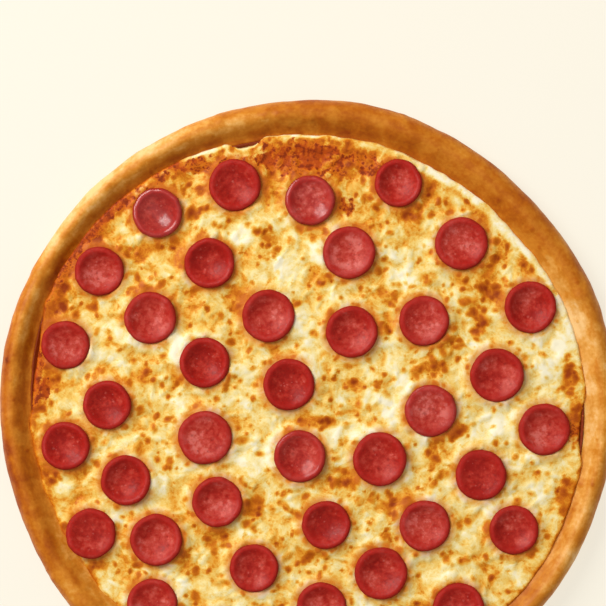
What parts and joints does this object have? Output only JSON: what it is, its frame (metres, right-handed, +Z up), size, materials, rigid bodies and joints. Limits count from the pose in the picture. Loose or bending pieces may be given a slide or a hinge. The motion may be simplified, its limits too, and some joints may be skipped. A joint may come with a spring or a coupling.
{
  "type": "pepperoni pizza",
  "caption": "Whole round baked pizza with a raised browned crust, tomato sauce, melted cheese and cupped slices of cured sausage.",
  "frame": {"origin": "centre of the flat underside, on the surface the pizza rests on", "axes": "+Z up through the pizza; +Y is the top of the picture and +X its right"},
  "size_m": [0.356, 0.356, 0.02],
  "materials": {
    "crust": "dry baked dough, browned",
    "sauce": "wet tomato sauce",
    "cheese": "soft melted cheese, satin with oil",
    "sausage": "oily cured sausage"
  },
  "bodies": {
    "root": {"crust": "crust", "sauce": "sauce", "cheese": "cheese", "pepperoni_01": "sausage", "pepperoni_02": "sausage", "pepperoni_03": "sausage", "pepperoni_04": "sausage", "pepperoni_05": "sausage", "pepperoni_06": "sausage", "pepperoni_07": "sausage", "pepperoni_08": "sausage", "pepperoni_09": "sausage", "pepperoni_10": "sausage", "pepperoni_11": "sausage", "pepperoni_12": "sausage", "pepperoni_13": "sausage", "pepperoni_14": "sausage", "pepperoni_15": "sausage", "pepperoni_16": "sausage", "pepperoni_17": "sausage", "pepperoni_18": "sausage", "pepperoni_19": "sausage", "pepperoni_20": "sausage", "pepperoni_21": "sausage", "pepperoni_22": "sausage", "pepperoni_23": "sausage", "pepperoni_24": "sausage", "pepperoni_25": "sausage", "pepperoni_26": "sausage", "pepperoni_27": "sausage", "pepperoni_28": "sausage", "pepperoni_29": "sausage", "pepperoni_30": "sausage", "pepperoni_31": "sausage", "pepperoni_32": "sausage", "pepperoni_33": "sausage", "pepperoni_34": "sausage", "pepperoni_35": "sausage", "pepperoni_36": "sausage", "pepperoni_37": "sausage", "pepperoni_38": "sausage", "pepperoni_39": "sausage", "pepperoni_40": "sausage"}
  },
  "joints": []
}
